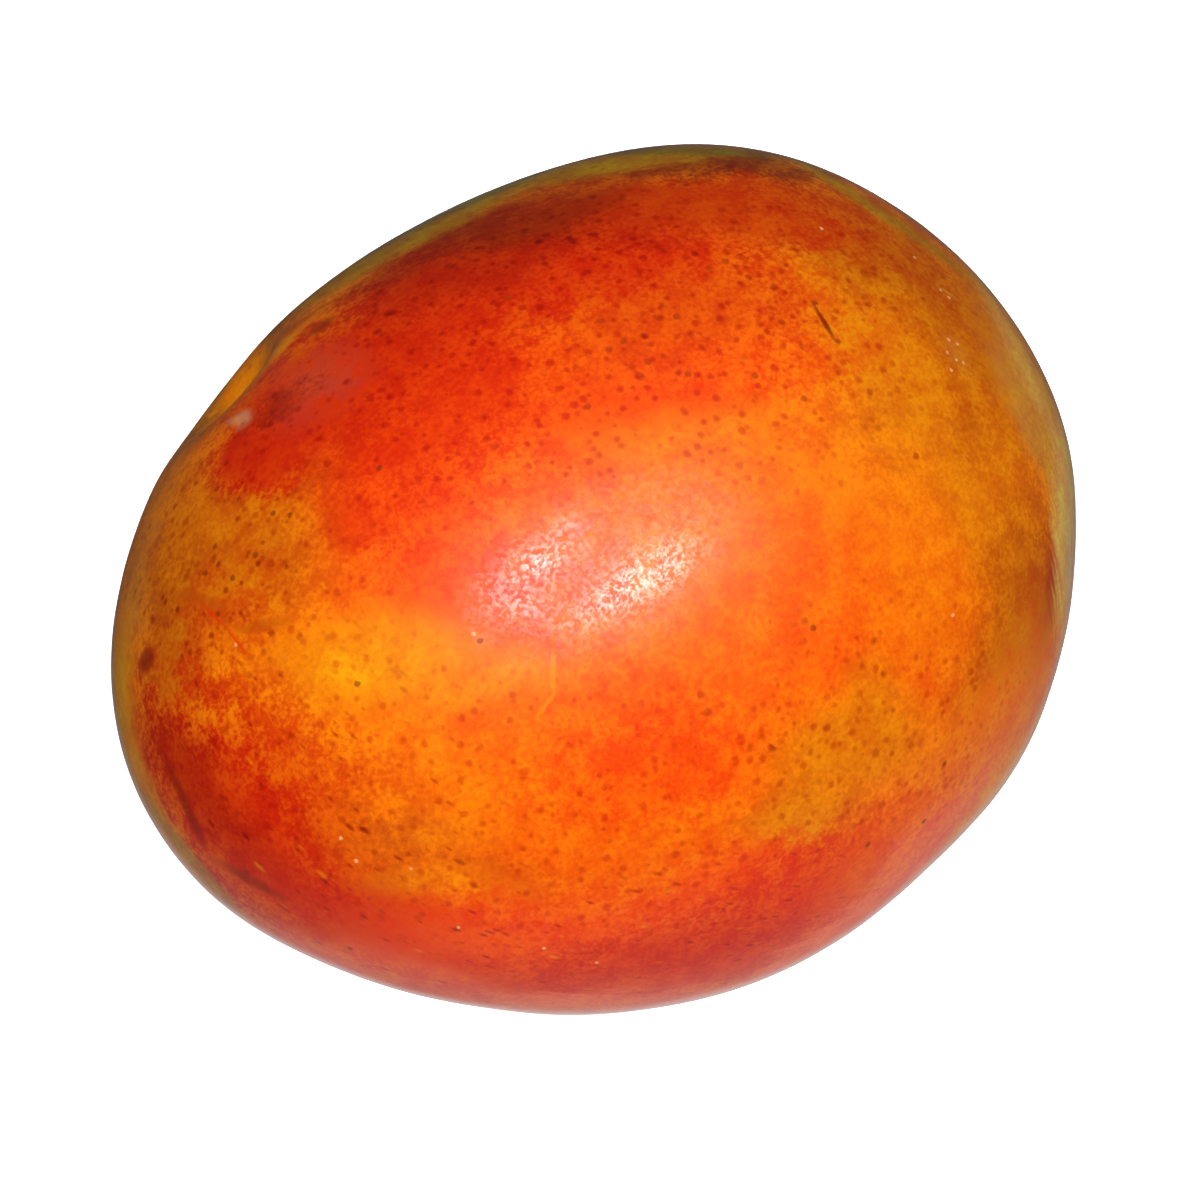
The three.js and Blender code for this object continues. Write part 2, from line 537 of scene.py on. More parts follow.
# These are broken up by long streaks that run with the skin, where it is seen edge-on.
STREAKS = (
    # The brick, olive and moss streaks along the top outline are partly the far side's skin and partly
    # painted shade.
    dab(Tone.BRICK, 545, 195, 18, 0.030, 0.0036, 0.6, 0.6, 1.2),
    dab(Tone.OLIVE, 440, 222, 29, 0.044, 0.0034, 0.95, 0.5, 0.8),
    dab(Tone.OLIVE, 590, 168, 9, 0.036, 0.0026, 0.95, 0.5, 0.8),
    dab(Tone.MOSS, 480, 194, 26, 0.044, 0.0010, 0.6, 0.6, 1.2),
    dab(Tone.MOSS, 660, 150, -2, 0.044, 0.0014, 0.6, 0.6, 1.0),
    dab(Tone.OLIVE, 862, 188, -34, 0.040, 0.0014, 0.8, 0.6, 0.8),
    # Pale sand streaks along the right outline are a painted sheen.
    dab(Tone.SAND_SHEEN, 1040, 370, -66, 0.036, 0.0024, 0.5, 0.7, 1.0),
    dab(Tone.SAND_SHEEN, 1070, 505, 88, 0.028, 0.0040, 1.0, 0.5, 0.8),
    dab(Tone.GOLD, 1000, 790, 52, 0.034, 0.0034, 0.9, 0.5, 1.2),
    dab(Tone.WINE, 430, 250, 30, 0.024, 0.0030, 0.5, 0.6, 1.2),
    dab(Tone.GOLD, 163, 828, -58, 0.026, 0.0030, 0.9, 0.5, 1.0),
    dab(Tone.OLIVE, 190, 858, -50, 0.022, 0.0016, 0.6, 0.5, 1.2),
    # Salmon along the bottom outline is a painted reflection of the pale table.
    dab(Tone.SALMON_REFLECTION, 330, 962, -25, 0.024, 0.0026, 0.8, 0.6, 1.2),
    dab(Tone.SALMON_REFLECTION, 600, 1003, 0, 0.040, 0.0030, 0.8, 0.6, 1.2),
    dab(Tone.SALMON_REFLECTION, 830, 935, 35, 0.030, 0.0036, 0.9, 0.6, 1.2),
)

# Small marks that are sharper than the skin's dye.
MARKS = (
    dab(Tone.WINE, 824, 322, -60, 0.0046, 0.0005, 0.9, 0.6, 0.5),
    dab(Tone.TAN, 955, 352, -60, 0.0050, 0.0020, 0.3, 0.8, 0.9),
    dab(Tone.RUST, 958, 386, 0, 0.0026, 0.0012, 0.6, 0.7, 0.9),
    dab(Tone.TAN, 947, 292, -30, 0.0024, 0.0003, 0.6, 0.5, 0.4),
    dab(Tone.SCARLET, 210, 612, -42, 0.0052, 0.0004, 0.7, 0.5, 0.6),
    dab(Tone.SCARLET, 237, 642, -50, 0.0036, 0.0004, 0.7, 0.5, 0.6),
    dab(Tone.RUST, 200, 600, -15, 0.0060, 0.0012, 0.6, 0.6, 1.2),
    dab(Tone.RUST, 265, 625, 10, 0.0060, 0.0012, 0.6, 0.6, 1.2),
    dab(Tone.GOLD, 553, 675, 88, 0.0050, 0.0006, 0.7, 0.6, 0.6),
    dab(Tone.GOLD, 545, 706, 55, 0.0030, 0.0005, 0.6, 0.6, 0.6),
    dab(Tone.WINE, 147, 660, 70, 0.0030, 0.0016, 0.7, 0.5, 0.6),
    dab(Tone.WINE, 185, 803, -66, 0.0100, 0.0010, 0.6, 0.6, 0.9),
    dab(Tone.WINE, 250, 880, -28, 0.0080, 0.0012, 0.6, 0.6, 0.9),
    dab(Tone.WINE, 322, 326, 35, 0.0030, 0.0010, 0.7, 0.6, 0.6),
)


@dataclass(frozen=True)
class Spots:
    """Round spots of one colour and size, each at its own pixel of the photograph."""

    tone: Tone
    radius: float
    strength: float
    pixels: tuple[Pair, ...]


SPOTS = (
    # Big brown pores on the red and the amber.
    Spots(
        Tone.BRICK, 0.00042, 0.7,
        (
            (508, 298), (601, 321), (677, 317), (609, 350), (648, 362), (688, 374), (624, 341),
            (588, 407), (749, 277), (782, 322), (755, 376), (804, 399), (870, 392), (874, 268),
            (916, 456),
        ),
    ),
    # Dark spots, and olive ones on the ochre.
    Spots(
        Tone.UMBER, 0.00036, 0.7,
        (
            (838, 341), (815, 303), (215, 546), (218, 564), (232, 578), (255, 555), (290, 515),
            (273, 513), (205, 573), (357, 684), (380, 468), (480, 641), (247, 872), (350, 948),
            (813, 628), (868, 844), (924, 821), (944, 763),
        ),
    ),
    # Pale specks.
    Spots(
        Tone.FLAKE, 0.00023, 0.8,
        (
            (821, 229), (915, 257), (941, 290), (949, 297), (949, 340), (957, 344), (947, 353),
            (956, 360), (963, 363), (951, 370), (953, 615), (235, 645), (474, 634), (356, 861),
            (341, 838), (411, 868), (544, 948), (597, 962), (458, 927),
        ),
    ),
)


class Signal:
    """A value that runs between shader nodes. Arithmetic on it adds its Math nodes."""

    def __init__(self, bench: NodeBench, socket: bpy.types.NodeSocket) -> None:
        """Holds the output socket and the bench that it is on."""
        self.bench = bench
        self.socket = socket

    def __add__(self, other: Value) -> Signal:
        """Adds a value to this one."""
        return self.bench.math("ADD", self, other)

    __radd__ = __add__

    def __sub__(self, other: Value) -> Signal:
        """Takes a value from this one."""
        return self.bench.math("SUBTRACT", self, other)

    def __rsub__(self, other: Value) -> Signal:
        """Takes this value from another."""
        return self.bench.math("SUBTRACT", other, self)

    def __mul__(self, other: Value) -> Signal:
        """Multiplies this value by another."""
        return self.bench.math("MULTIPLY", self, other)

    __rmul__ = __mul__


class NodeBench:
    """Adds the nodes of one material and joins them up."""

    def __init__(self, tree: bpy.types.NodeTree) -> None:
        """Clears the tree that the bench works on."""
        self.tree = tree
        self.tree.nodes.clear()

    def add(
        self,
        kind: str,
        settings: Mapping[str, Any] | None = None,
        inputs: Mapping[str | int, Any] | None = None,
    ) -> bpy.types.Node:
        """Adds a node, sets it up, and then fills or links its sockets.

        Args:
            kind: The node's type, such as ShaderNodeMath.
            settings: Its own settings, such as the operation.
            inputs: The value or signal of each input socket, by name or number.

        Returns:
            The node.
        """
        node = self.tree.nodes.new(kind)
        for name, value in (settings or {}).items():
            setattr(node, name, value)
        for name, value in (inputs or {}).items():
            if isinstance(value, Signal):
                self.tree.links.new(value.socket, node.inputs[name])
            else:
                node.inputs[name].default_value = value
        return node

    def signal(self, node: bpy.types.Node, output: str | int = 0) -> Signal:
        """Gives one output of a node as a signal."""
        return Signal(self, node.outputs[output])

    def math(self, operation: str, *values: Value) -> Signal:
        """Adds a Math node on those values."""
        node = self.add("ShaderNodeMath", {"operation": operation}, dict(enumerate(values)))
        return self.signal(node)

    def vector(self, operation: str, *values: Signal | Sequence[float]) -> Signal:
        """Adds a Vector Math node whose result is a vector."""
        node = self.add("ShaderNodeVectorMath", {"operation": operation}, dict(enumerate(values)))
        return self.signal(node, "Vector")

    def scaled(self, vector: Signal | Sequence[float], scale: Value) -> Signal:
        """Adds a Vector Math node that makes a vector longer or shorter."""
        inputs = {0: vector, "Scale": scale}
        node = self.add("ShaderNodeVectorMath", {"operation": "SCALE"}, inputs)
        return self.signal(node, "Vector")

    def measure(self, operation: str, *values: Signal | Sequence[float]) -> Signal:
        """Adds a Vector Math node whose result is a number, such as a length."""
        node = self.add("ShaderNodeVectorMath", {"operation": operation}, dict(enumerate(values)))
        return self.signal(node, "Value")

    def fade(self, value: Signal, start: float, stop: float, top: Value = 1.0) -> Signal:
        """Adds a smooth step from 0 at the start to the top at the stop, which may be the lesser."""
        inputs = {"Value": value, "From Min": start, "From Max": stop, "To Min": 0.0, "To Max": top}
        node = self.add("ShaderNodeMapRange", {"interpolation_type": "SMOOTHSTEP"}, inputs)
        return self.signal(node)

    def grain(self, where: Signal, size: float, detail: float = 3.0, rough: float = 0.6) -> Signal:
        """Adds cloudy noise of that grain size, about 0.5 on average."""
        return self.signal(self._noise(where, size, detail, rough), 0)

    def drift(self, where: Signal, size: float, reach: float) -> Signal:
        """Shifts a place by cloudy noise of that grain size, by about the reach at the most."""
        cloud = self.signal(self._noise(where, size, 2.0, 0.5), "Color")
        shift = self.scaled(self.vector("SUBTRACT", cloud, (0.5, 0.5, 0.5)), reach * 2)
        return self.vector("ADD", where, shift)

    def _noise(self, where: Signal, size: float, detail: float, rough: float) -> bpy.types.Node:
        """Adds a noise texture of that grain size."""
        inputs = {"Vector": where, "Scale": 1 / size, "Detail": detail, "Roughness": rough}
        return self.add("ShaderNodeTexNoise", {"noise_dimensions": "3D"}, inputs)

    def cells(self, where: Signal, size: float) -> tuple[Signal, Signal]:
        """Adds scattered points, and gives the nearest one's distance, as a share, and its colour."""
        inputs = {"Vector": where, "Scale": 1 / size, "Randomness": 1.0}
        node = self.add("ShaderNodeTexVoronoi", {"feature": "F1"}, inputs)
        return self.signal(node, "Distance"), self.signal(node, "Color")

    def own(self, layer: str, output: str) -> Signal:
        """Reads one of the mesh's own layers."""
        return self.signal(self.add("ShaderNodeAttribute", {"attribute_name": layer}), output)

    def first(self, colour: Signal) -> Signal:
        """Gives the first of a colour's three numbers."""
        return self.signal(self.add("ShaderNodeSeparateColor", {}, {"Color": colour}), 0)

    def mix(self, amount: Value, under: Any, over: Any, blend: str = "MIX") -> Signal:
        """Lays one colour over another by that amount, or tints it where the blend is MULTIPLY."""
        settings = {"data_type": "RGBA", "blend_type": blend}
        node = self.add("ShaderNodeMix", settings, {0: amount, 6: under, 7: over})
        return self.signal(node, 2)


@dataclass(frozen=True)
class Specks:
    """One kind of small speck: its colour, how far apart and how big, and the patches where it shows.

    The speck tints the skin, or else covers it. It is drawn out along the skin's lines by its stretch.
    """

    name: str
    tone: Tone
    tints: bool
    apart: float
    radius: float
    stretch: float
    patches: tuple[Patch, ...]


SPECKS = (
    # Fine red-brown dots, nearly everywhere.
    Specks(
        "dots", Tone.SHADE, True, 0.0014, 0.00055, 1.0,
        (
            Patch(Hidden(60, 0), 0, 0.150, 0.120, 0.8),
            Patch(Seen(600, 330), 12, 0.100, 0.046, 1.0),
            Patch(Seen(240, 560), 0, 0.040, 0.030, 0.8),
            Patch(Seen(480, 800), -10, 0.090, 0.036, 0.8),
            Patch(Seen(850, 740), 30, 0.050, 0.030, 0.8),
        ),
    ),
    # Bigger brown spots on the red and the amber.
    Specks(
        "spots", Tone.STAIN, True, 0.0024, 0.00062, 1.0,
        (
            Patch(Seen(710, 310), 8, 0.044, 0.022, 0.8),
            Patch(Seen(480, 270), 25, 0.050, 0.016, 0.8),
            Patch(Seen(810, 690), 20, 0.034, 0.022, 0.8),
        ),
    ),
    # Olive and brown dots on the ochre left.
    Specks(
        "left_dots", Tone.STAIN, True, 0.0019, 0.00050, 1.0,
        (Patch(Seen(225, 570), 30, 0.028, 0.026, 0.9),),
    ),
    # Dark dashes along the red lower left and the bottom.
    Specks(
        "dashes", Tone.STAIN, True, 0.0012, 0.00028, 2.4,
        (
            Patch(Seen(300, 800), -35, 0.050, 0.034, 0.9),
            Patch(Seen(400, 930), -15, 0.040, 0.012, 0.9),
            Patch(Seen(620, 930), 5, 0.060, 0.016, 0.8),
        ),
    ),
    # Pale flecks.
    Specks(
        "flecks", Tone.GOLD, False, 0.0024, 0.00034, 2.2,
        (
            Patch(Seen(300, 740), -30, 0.050, 0.040, 0.6),
            Patch(Seen(520, 920), 0, 0.050, 0.014, 0.6),
        ),
    ),
)


@dataclass(frozen=True)
class SkinFinish:
    """The skin's gloss, grain and flecks. A pair says where a step begins and ends."""

    roughness: float = 0.37
    specular: float = 0.09
    coat: float = 0.30
    coat_roughness: float = 0.17
    coat_grain: float = 0.0007
    rim_coat: float = 1.0
    fleck_grain: float = 0.0006
    fleck_strength: float = 0.55
    cloud_grain: float = 0.0036
    cloud_strength: float = 0.65
    streak_grain: float = 0.0011
    streak_stretch: float = 9.0
    wax_grain: float = 0.00032
    wax_height: float = 0.000008
    dye_break: Pair = (0.40, 0.60)
    mottle: Pair = (0.35, 0.65)
    smear: Pair = (0.43, 0.59)
    centre_gloss: Pair = (0.50, 0.25)
    edge_gloss: Pair = (0.76, 1.0)
    past_basin: Pair = (0.35, 0.60)
    spot_edge: Pair = (1.4, 0.6)
    scar_edge: Pair = (1.1, 0.9)
    scar_grain: float = 0.0012


class SkinDyeAndLight:
    """Dyes the skin's vertices from the patches that lie on it, with painted light and shade among them.

    The colours are worked out twice, once with every patch a little smaller and once a little larger. The
    material shows flecks of both, so the edges of the patches are broken up.
    """

    def __init__(self, mesh: bpy.types.Mesh, form: FruitForm, centre: Vector, sight: Sight) -> None:
        """Holds the skin's mesh and finds where its vertices are from the fruit's centre."""
        self.mesh = mesh
        self.form = form
        self.centre = centre
        self.sight = sight
        self.places: list[Vector] = []
        self.tree = KDTree(len(mesh.vertices))
        noise.seed_set(DYE_SEED)
        for vertex in mesh.vertices:
            place = vertex.co - centre
            place = place + noise.noise_vector(place / WANDER_GRAIN) * WANDER
            place = place + noise.noise_vector(place / FRAY_GRAIN) * FRAY
            self.places.append(place)
            self.tree.insert(place, vertex.index)
        self.tree.balance()

    def reached(self, patch: Patch) -> Iterator[tuple[int, float]]:
        """Finds the vertices that a patch may reach.

        Args:
            patch: The oval on the skin.

        Yields:
            A vertex and its distance from the patch's middle, which is 1 at the patch's edge.
        """
        middle, axes = patch.place.lie(self.form, self.sight, self.centre)
        turned = axes @ Matrix.Rotation(math.radians(patch.turn), 3, "Z")
        deep = patch.deep()
        inward = Matrix.Diagonal((2 / patch.long, 2 / patch.wide, 1 / deep)) @ turned.transposed()
        reach = 1 + patch.softness + patch.speckle / 2
        for _, index, _ in self.tree.find_range(middle, reach * max(patch.long / 2, patch.wide / 2, deep)):
            yield index, (inward @ (self.places[index] - middle)).length

    def dye(self, blushes: Sequence[Blush], ground: Tone) -> None:
        """Lays the blushes and painted light over the ground, in their order, on both of the skin's colour
        layers.
        """
        layers = {name: [Vector(ground.value) for _ in self.places] for name in DYE_AND_LIGHT_LAYERS}
        for blush in blushes:
            tone = Vector(blush.tone.value)
            for index, away in self.reached(blush.patch):
                for name, growth in DYE_AND_LIGHT_LAYERS.items():
                    amount = blush.patch.amount(away, growth)
                    if amount > 0:
                        layers[name][index] = layers[name][index].lerp(tone, amount)
        for name, colours in layers.items():
            layer = self.mesh.color_attributes.new(name, "FLOAT_COLOR", "POINT")
            layer.data.foreach_set("color", [part for colour in colours for part in (*colour, 1.0)])

    def sow(self, specks: Specks) -> None:
        """Writes how thickly one kind of speck lies on each vertex."""
        amounts = [0.0] * len(self.places)
        for patch in specks.patches:
            for index, away in self.reached(patch):
                amounts[index] = max(amounts[index], patch.amount(away))
        self.mesh.attributes.new(specks.name, "FLOAT", "POINT").data.foreach_set("value", amounts)


class SkinPainter:
    """Makes the skin's material on a node bench."""

    def __init__(self, form: FruitForm, centre: Vector, sight: Sight, finish: SkinFinish) -> None:
        """Holds the form that is painted, where its centre is, how it is seen, and the finish."""
        self.form = form
        self.centre = centre
        self.sight = sight
        self.finish = finish
        self.material = bpy.data.materials.new("mango_skin")
        self.material.use_nodes = True
        self.bench = NodeBench(self.material.node_tree)

    def paint(self) -> bpy.types.Material:
        """Builds the whole material.

        Returns:
            The finished material.
        """
        bench = self.bench
        finish = self.finish
        object_place = bench.signal(bench.add("ShaderNodeTexCoord"), "Object")
        place = bench.vector("SUBTRACT", object_place, self.centre)
        polar = self._polar(place)
        fleck = bench.grain(place, finish.fleck_grain)
        cloud = bench.grain(place, finish.cloud_grain, 4.0)
        streak = bench.grain(self._flow(place, polar, finish.streak_stretch), finish.streak_grain)
        broken = bench.fade(fleck * 0.5 + cloud * 0.5, *finish.dye_break)
        tight, loose = (bench.own(layer, "Color") for layer in DYE_AND_LIGHT_LAYERS)
        colour = bench.mix(broken, tight, loose)
        colour = self._marked(STREAKS, place, streak, colour)
        for grain, strength in ((cloud, finish.cloud_strength), (fleck, finish.fleck_strength)):
            tint = bench.mix(bench.fade(grain, *finish.mottle), Tone.PALE.rgba(), Tone.DEEP.rgba())
            colour = bench.mix(strength, colour, tint, "MULTIPLY")
        for specks in SPECKS:
            colour = self._specked(specks, place, polar, colour)
        ragged = bench.drift(place, MARK_GRAIN, MARK_DRIFT)
        colour = self._marked(MARKS, ragged, fleck, colour)
        for spots in SPOTS:
            colour = self._spotted(spots, ragged, colour)
        colour = self._corked(polar, place, colour)
        self._finish(colour, place, polar)
        return self.material

    def _polar(self, place: Signal) -> Signal:
        """Gives the angle of each place from the stem, in radians."""
        outward = self.bench.vector("NORMALIZE", place)
        return self.bench.math("ARCCOSINE", self.bench.measure("DOT_PRODUCT", outward, self.form.stem_axis))

    def _flow(self, place: Signal, polar: Signal, stretch: float) -> Signal:
        """Makes the coordinates that run with the skin, from the stem to the blossom end.

        Args:
            place: The place from the fruit's centre.
            polar: Its angle from the stem.
            stretch: How far a grain is drawn out along the skin's own lines.

        Returns:
            The coordinates, as a vector.
        """
        bench = self.bench
        axis = self.form.stem_axis
        along = bench.scaled(axis, bench.measure("DOT_PRODUCT", place, axis))
        around = bench.vector("NORMALIZE", bench.vector("SUBTRACT", place, along))
        across = bench.scaled(around, GIRTH_RADIUS)
        down = bench.scaled(axis, polar * (GIRTH_RADIUS / stretch))
        return bench.vector("ADD", across, down)

    def _mask(self, patch: Patch, place: Signal, broken: Signal) -> Signal:
        """Works out where a patch shows.

        Args:
            patch: The oval on the skin.
            place: The place from the fruit's centre.
            broken: The pattern that breaks up the edge.

        Returns:
            The patch's strength at each point.
        """
        bench = self.bench
        middle, axes = patch.place.lie(self.form, self.sight, self.centre)
        turned = axes @ Matrix.Rotation(math.radians(patch.turn), 3, "Z")
        halves = (patch.long / 2, patch.wide / 2, patch.deep())
        scales = [turned.col[side] / half for side, half in enumerate(halves)]
        sides = {side: bench.measure("DOT_PRODUCT", place, scale) for side, scale in enumerate(scales)}
        local = bench.signal(bench.add("ShaderNodeCombineXYZ", {}, sides))
        away = bench.measure("DISTANCE", local, [scale.dot(middle) for scale in scales])
        frayed = bench.math("MULTIPLY_ADD", broken, patch.speckle * 2, away)
        edge = 1 + patch.speckle
        return bench.fade(frayed, edge + patch.softness, edge - patch.softness, patch.strength)

    def _marked(self, marks: Sequence[Blush], place: Signal, broken: Signal, colour: Signal) -> Signal:
        """Lays small marks over the colour, in their order, with edges that the broken pattern frays."""
        for mark in marks:
            mask = self._mask(mark.patch, place, broken)
            colour = self.bench.mix(mask, colour, mark.tone.rgba())
        return colour

    def _spotted(self, spots: Spots, place: Signal, colour: Signal) -> Signal:
        """Lays spots over the colour.

        Args:
            spots: The spots.
            place: The place from the fruit's centre.
            colour: The colour under them.

        Returns:
            The colour with the spots on it.
        """
        bench = self.bench
        nearest: Value = LENGTH
        for pixel in spots.pixels:
            middle, _ = Seen(*pixel).lie(self.form, self.sight, self.centre)
            nearest = bench.math("MINIMUM", nearest, bench.measure("DISTANCE", place, middle))
        start, stop = (spots.radius * edge for edge in self.finish.spot_edge)
        mask = bench.fade(nearest, start, stop, spots.strength)
        return bench.mix(mask, colour, spots.tone.rgba())

    def _specked(self, specks: Specks, place: Signal, polar: Signal, colour: Signal) -> Signal:
        """Lays one kind of speck over the colour.

        Args:
            specks: The kind.
            place: The place from the fruit's centre.
            polar: Its angle from the stem.
            colour: The colour under the specks.

        Returns:
            The colour with the specks on it.
        """
        bench = self.bench
        where = place if specks.stretch == 1 else self._flow(place, polar, specks.stretch)
        away, chance = bench.cells(where, specks.apart)
        rim = specks.radius / specks.apart
        size = bench.first(chance) * (rim * SPECK_SPREAD) + rim * SPECK_LEAST
        dot = bench.fade(away - size, 0.0, -rim * SPECK_SPREAD)
        blend = "MULTIPLY" if specks.tints else "MIX"
        return bench.mix(dot * bench.own(specks.name, "Fac"), colour, specks.tone.rgba(), blend)

    def _corked(self, polar: Signal, place: Signal, colour: Signal) -> Signal:
        """Lays the corky scar at the stem over the colour."""
        bench = self.bench
        edge = self.form.basin.scar_radius / GIRTH_RADIUS
        ragged = polar + (bench.grain(place, self.finish.scar_grain, 2.0, 0.5) - 0.5) * (edge / 2)
        start, stop = (edge * share for share in self.finish.scar_edge)
        return bench.mix(bench.fade(ragged, start, stop), colour, Tone.CORK.rgba())

    def _finish(self, colour: Signal, place: Signal, polar: Signal) -> None:
        """Joins the colour, the gloss and the waxy grain to the shader."""
        bench = self.bench
        finish = self.finish
        wax = bench.grain(place, finish.wax_grain)
        smear = bench.grain(place, finish.coat_grain, 2.0) * 0.5 + wax * 0.5
        facing = bench.signal(bench.add("ShaderNodeLayerWeight", {}, {"Blend": 0.5}), "Facing")
        centred = bench.fade(facing, *finish.centre_gloss, finish.coat)
        rim = bench.fade(polar, *finish.past_basin, finish.rim_coat)
        edged = bench.fade(facing, *finish.edge_gloss, rim)
        coat = bench.fade(smear, *finish.smear) * centred + edged
        grain = {"Height": wax, "Distance": finish.wax_height, "Strength": 1.0}
        bump = bench.add("ShaderNodeBump", {}, grain)
        shader = bench.add(
            "ShaderNodeBsdfPrincipled",
            {},
            {
                "Base Color": colour,
                "Roughness": finish.roughness,
                "Specular IOR Level": finish.specular,
                "Coat Weight": coat,
                "Coat Roughness": finish.coat_roughness,
                "Normal": bench.signal(bump),
            },
        )
        bench.add("ShaderNodeOutputMaterial", {}, {"Surface": bench.signal(shader)})


@dataclass
class Mango:
    """The fruit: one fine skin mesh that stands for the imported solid."""

    form: FruitForm = field(default_factory=FruitForm)
    finish: SkinFinish = field(default_factory=SkinFinish)
    centre: Vector = field(default_factory=Vector)

    def build(self, sight: Sight) -> bpy.types.Object:
        """Makes the fruit, dresses it and ties it to the frame.

        Args:
            sight: How the photograph was taken, which places the colours.

        Returns:
            The fruit's object.
        """
        shape = bmesh.new()
        bmesh.ops.create_uvsphere(shape, u_segments=BALL_SEGMENTS, v_segments=BALL_RINGS, radius=1)
        bmesh.ops.subdivide_edges(shape, edges=shape.edges[:], cuts=BALL_CUTS, use_grid_fill=True)
        self._crowd_rings(shape)
        stem_turn = Vector((0, 0, 1)).rotation_difference(self.form.stem_axis)
        bmesh.ops.rotate(shape, verts=shape.verts, matrix=stem_turn.to_matrix())
        self._push_out(shape)
        self.centre = self._rest(shape)
        for face in shape.faces:
            face.smooth = True
        mesh = bpy.data.meshes.new("mango")
        shape.to_mesh(mesh)
        shape.free()
        dye = SkinDyeAndLight(mesh, self.form, self.centre, sight)
        dye.dye(BLUSHES_AND_PAINTED_LIGHT, Tone.AMBER)
        for specks in SPECKS:
            dye.sow(specks)
        mesh.materials.append(SkinPainter(self.form, self.centre, sight, self.finish).paint())
        fruit = bpy.data.objects.new("mango", mesh)
        bpy.context.scene.collection.objects.link(fruit)
        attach(fruit, FRUIT_BODY)
        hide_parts(FRUIT_NODE)
        return fruit

    def _crowd_rings(self, shape: bmesh.types.BMesh) -> None:
        """Draws the ball's rings towards its upper pole, where the stem basin will be."""
        for vertex in shape.verts:
            level = vertex.co.xy.length
            polar = math.atan2(level, vertex.co.z)
            crowded = math.pi * (polar / math.pi) ** RING_CROWDING
            if level > 0:
                vertex.co.xy *= math.sin(crowded) / level
            vertex.co.z = math.cos(crowded)

    def _push_out(self, shape: bmesh.types.BMesh) -> None:
        """Moves each vertex of the ball out to the skin."""
        for vertex in shape.verts:
            direction = vertex.co.normalized()
            point = direction * self.form.radius(direction)
            vertex.co = point + direction * self.form.unevenness(point)

    def _rest(self, shape: bmesh.types.BMesh) -> Vector:
        """Presses the resting spot flat and sets the fruit where the solid is.

        Args:
            shape: The fruit about its own centre.

        Returns:
            Where the fruit's centre comes to lie.
        """
        floor = min(vertex.co.z for vertex in shape.verts) + REST_DEPTH
        for vertex in shape.verts:
            vertex.co.z = max(vertex.co.z, floor)
        low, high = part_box(FRUIT_NODE)
        middle = (low + high) / 2
        across = [vertex.co.x for vertex in shape.verts]
        along = [vertex.co.y for vertex in shape.verts]
        centre = Vector(
            (
                middle.x - (min(across) + max(across)) / 2,
                middle.y - (min(along) + max(along)) / 2,
                low.z - floor,
            )
        )
        bmesh.ops.translate(shape, verts=shape.verts, vec=centre)
        return centre


class Reach(Enum):
    """What a lamp does on the fruit: it lights the skin's colour, or only gleams on its wax."""

    FILLS = "fills"
    GLEAMS = "gleams"


@dataclass(frozen=True)
class Lamp:
    """A soft lamp that faces the fruit.

    It hangs where it lights the skin squarely at its mark, or where the camera sees it mirrored there if it
    only gleams. It is turned anticlockwise as the camera sees it.
    """

    name: str
    reach: Reach
    mark: Seen
    wide: float
    tall: float
    turn: float
    power: float
    distance: float = 2.4

    def hang(self, form: FruitForm, sight: Sight, centre: Vector) -> None:
        """Hangs the lamp.

        Args:
            form: The fruit's form.
            sight: Where the camera looks from.
            centre: The fruit's centre.
        """
        data = bpy.data.lights.new(self.name, "AREA")
        data.shape = "ELLIPSE"
        data.size = self.wide
        data.size_y = self.tall
        data.energy = self.power
        point, _ = self.mark.lie(form, sight, centre)
        way = form.normal(point)
        if self.reach is Reach.GLEAMS:
            to_eye = (sight.eye() - centre - point).normalized()
            way = way * (2 * way.dot(to_eye)) - to_eye
        holder = bpy.data.objects.new(self.name, data)
        holder.location = centre + point + way * self.distance
        spin = Matrix.Rotation(math.radians(self.turn), 3, "Z")
        tilt = Vector((0, 0, 1)).rotation_difference(sight.turn().transposed() @ way).to_matrix()
        holder.rotation_euler = (sight.turn() @ tilt @ spin).to_euler()
        holder.visible_diffuse = self.reach is Reach.FILLS
        holder.visible_glossy = self.reach is Reach.GLEAMS
        bpy.context.scene.collection.objects.link(holder)


LAMPS = (
    Lamp("key", Reach.FILLS, Seen(600, 590), 0.7, 0.7, 0, 64),
    Lamp("veil_right", Reach.GLEAMS, Seen(640, 532), 1.5, 1.3, 0, 30),
    Lamp("veil_left", Reach.GLEAMS, Seen(535, 590), 1.2, 0.9, 20, 17),
    Lamp("veil_low", Reach.GLEAMS, Seen(600, 635), 1.5, 0.4, 10, 6),
    Lamp("gleam_right", Reach.GLEAMS, Seen(652, 576), 0.80, 0.42, 24, 52),
    Lamp("gleam_middle", Reach.GLEAMS, Seen(600, 606), 0.70, 0.24, 15, 17),
    Lamp("gleam_crescent", Reach.GLEAMS, Seen(510, 600), 0.60, 0.20, -35, 16),
    Lamp("gleam_left", Reach.GLEAMS, Seen(530, 564), 0.30, 0.16, 20, 18),
    Lamp("gleam_upper", Reach.GLEAMS, Seen(562, 530), 0.18, 0.12, 20, 6),
)


